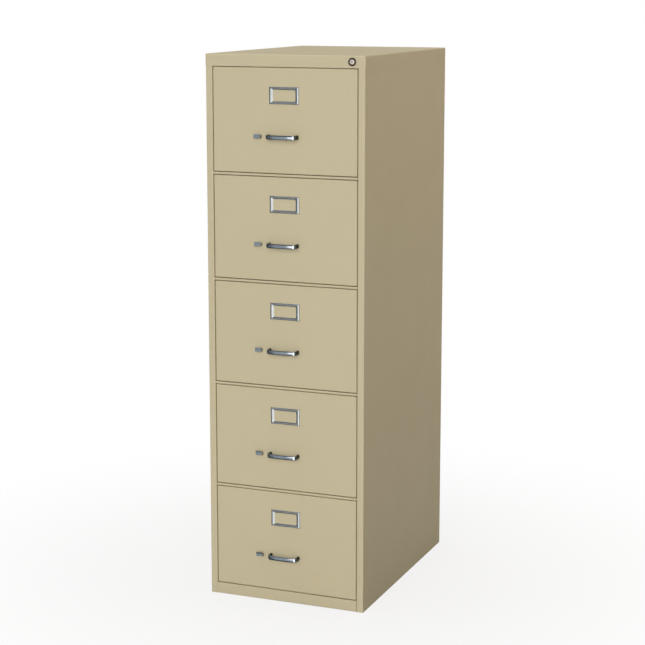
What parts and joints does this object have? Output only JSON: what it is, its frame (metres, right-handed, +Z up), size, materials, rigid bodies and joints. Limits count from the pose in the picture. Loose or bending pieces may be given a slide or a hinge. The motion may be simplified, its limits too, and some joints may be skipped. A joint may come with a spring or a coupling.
{
  "type": "vertical filing cabinet",
  "caption": "Tall painted steel filing cabinet with full-width drawers on slides, chrome pulls, label frames, thumb latches and one key lock that blocks every drawer.",
  "frame": {"origin": "on the floor, at the middle of the overall box, handles included", "axes": "+Z up, the drawers open towards -Y, +X to the right seen from the front"},
  "size_m": [0.4636, 0.6992, 1.524],
  "materials": {
    "paint": "satin",
    "inner_paint": "satin",
    "chrome": "polished",
    "zinc": "zinc plated",
    "nylon": "matte"
  },
  "bodies": {
    "case": {"left_side_panel": "paint", "right_side_panel": "paint", "back_panel": "paint", "top_cap": "paint", "base_frame": "paint", "cross_rails": "paint", "slide_posts": "zinc", "case_slides": "zinc", "lock_housing": "chrome", "lock_bar_guides": "nylon", "leveling_glides": "zinc", "case_screws": "zinc"},
    "lock_plug": {"lock_plug": "zinc"},
    "lock_bar": {"lock_bar": "zinc", "lock_bar_lugs": "zinc"},
    "drawer_1": {"drawer_1_front_panel": "paint", "drawer_1_front_liner": "inner_paint", "drawer_1_body": "inner_paint", "drawer_1_handle": "chrome", "drawer_1_label_holder": "chrome", "drawer_1_runners": "zinc"},
    "drawer_1_latch": {"drawer_1_latch": "chrome"},
    "drawer_1_follower": {"drawer_1_follower": "zinc"},
    "drawer_1_cradle": {"drawer_1_cradle": "zinc"},
    "drawer_2": {"drawer_2_front_panel": "paint", "drawer_2_front_liner": "inner_paint", "drawer_2_body": "inner_paint", "drawer_2_handle": "chrome", "drawer_2_label_holder": "chrome", "drawer_2_runners": "zinc"},
    "drawer_2_latch": {"drawer_2_latch": "chrome"},
    "drawer_2_follower": {"drawer_2_follower": "zinc"},
    "drawer_2_cradle": {"drawer_2_cradle": "zinc"},
    "drawer_3": {"drawer_3_front_panel": "paint", "drawer_3_front_liner": "inner_paint", "drawer_3_body": "inner_paint", "drawer_3_handle": "chrome", "drawer_3_label_holder": "chrome", "drawer_3_runners": "zinc"},
    "drawer_3_latch": {"drawer_3_latch": "chrome"},
    "drawer_3_follower": {"drawer_3_follower": "zinc"},
    "drawer_3_cradle": {"drawer_3_cradle": "zinc"},
    "drawer_4": {"drawer_4_front_panel": "paint", "drawer_4_front_liner": "inner_paint", "drawer_4_body": "inner_paint", "drawer_4_handle": "chrome", "drawer_4_label_holder": "chrome", "drawer_4_runners": "zinc"},
    "drawer_4_latch": {"drawer_4_latch": "chrome"},
    "drawer_4_follower": {"drawer_4_follower": "zinc"},
    "drawer_4_cradle": {"drawer_4_cradle": "zinc"},
    "drawer_5": {"drawer_5_front_panel": "paint", "drawer_5_front_liner": "inner_paint", "drawer_5_body": "inner_paint", "drawer_5_handle": "chrome", "drawer_5_label_holder": "chrome", "drawer_5_runners": "zinc"},
    "drawer_5_latch": {"drawer_5_latch": "chrome"},
    "drawer_5_follower": {"drawer_5_follower": "zinc"},
    "drawer_5_cradle": {"drawer_5_cradle": "zinc"}
  },
  "joints": [
    {"name": "lock_turn", "type": "hinge", "parent": "case", "child": "lock_plug", "pos_m": [0.19475, -0.32355, 1.5075], "axis": [0, -1, 0], "range_deg": [0, 90]},
    {"name": "lock_bar_lift", "type": "slide", "parent": "case", "child": "lock_bar", "axis": [0, 0, 1], "range_m": [0, 0.01273]},
    {"name": "drawer_1_slide", "type": "slide", "parent": "case", "child": "drawer_1", "axis": [0, -1, 0], "range_m": [0, 0.6]},
    {"name": "drawer_1_cradle_slide", "type": "slide", "parent": "case", "child": "drawer_1_cradle", "axis": [0, -1, 0], "range_m": [0, 0.3]},
    {"name": "drawer_1_latch_slide", "type": "slide", "parent": "drawer_1", "child": "drawer_1_latch", "axis": [1, 0, 0], "range_m": [0, 0.0075], "stiffness_N_per_m": 500, "springref_m": -0.001},
    {"name": "drawer_1_follower_slide", "type": "slide", "parent": "drawer_1", "child": "drawer_1_follower", "axis": [0, 1, 0], "range_m": [-0.48, 0]},
    {"name": "drawer_2_slide", "type": "slide", "parent": "case", "child": "drawer_2", "axis": [0, -1, 0], "range_m": [0, 0.6]},
    {"name": "drawer_2_cradle_slide", "type": "slide", "parent": "case", "child": "drawer_2_cradle", "axis": [0, -1, 0], "range_m": [0, 0.3]},
    {"name": "drawer_2_latch_slide", "type": "slide", "parent": "drawer_2", "child": "drawer_2_latch", "axis": [1, 0, 0], "range_m": [0, 0.0075], "stiffness_N_per_m": 500, "springref_m": -0.001},
    {"name": "drawer_2_follower_slide", "type": "slide", "parent": "drawer_2", "child": "drawer_2_follower", "axis": [0, 1, 0], "range_m": [-0.48, 0]},
    {"name": "drawer_3_slide", "type": "slide", "parent": "case", "child": "drawer_3", "axis": [0, -1, 0], "range_m": [0, 0.6]},
    {"name": "drawer_3_cradle_slide", "type": "slide", "parent": "case", "child": "drawer_3_cradle", "axis": [0, -1, 0], "range_m": [0, 0.3]},
    {"name": "drawer_3_latch_slide", "type": "slide", "parent": "drawer_3", "child": "drawer_3_latch", "axis": [1, 0, 0], "range_m": [0, 0.0075], "stiffness_N_per_m": 500, "springref_m": -0.001},
    {"name": "drawer_3_follower_slide", "type": "slide", "parent": "drawer_3", "child": "drawer_3_follower", "axis": [0, 1, 0], "range_m": [-0.48, 0]},
    {"name": "drawer_4_slide", "type": "slide", "parent": "case", "child": "drawer_4", "axis": [0, -1, 0], "range_m": [0, 0.6]},
    {"name": "drawer_4_cradle_slide", "type": "slide", "parent": "case", "child": "drawer_4_cradle", "axis": [0, -1, 0], "range_m": [0, 0.3]},
    {"name": "drawer_4_latch_slide", "type": "slide", "parent": "drawer_4", "child": "drawer_4_latch", "axis": [1, 0, 0], "range_m": [0, 0.0075], "stiffness_N_per_m": 500, "springref_m": -0.001},
    {"name": "drawer_4_follower_slide", "type": "slide", "parent": "drawer_4", "child": "drawer_4_follower", "axis": [0, 1, 0], "range_m": [-0.48, 0]},
    {"name": "drawer_5_slide", "type": "slide", "parent": "case", "child": "drawer_5", "axis": [0, -1, 0], "range_m": [0, 0.6]},
    {"name": "drawer_5_cradle_slide", "type": "slide", "parent": "case", "child": "drawer_5_cradle", "axis": [0, -1, 0], "range_m": [0, 0.3]},
    {"name": "drawer_5_latch_slide", "type": "slide", "parent": "drawer_5", "child": "drawer_5_latch", "axis": [1, 0, 0], "range_m": [0, 0.0075], "stiffness_N_per_m": 500, "springref_m": -0.001},
    {"name": "drawer_5_follower_slide", "type": "slide", "parent": "drawer_5", "child": "drawer_5_follower", "axis": [0, 1, 0], "range_m": [-0.48, 0]}
  ],
  "couplings": [
    {"joint": "lock_turn", "follows": "lock_bar_lift", "rad_per_m": 123.41},
    {"joint": "drawer_1_cradle_slide", "follows": "drawer_1_slide", "ratio": 0.5},
    {"joint": "drawer_2_cradle_slide", "follows": "drawer_2_slide", "ratio": 0.5},
    {"joint": "drawer_3_cradle_slide", "follows": "drawer_3_slide", "ratio": 0.5},
    {"joint": "drawer_4_cradle_slide", "follows": "drawer_4_slide", "ratio": 0.5},
    {"joint": "drawer_5_cradle_slide", "follows": "drawer_5_slide", "ratio": 0.5}
  ]
}
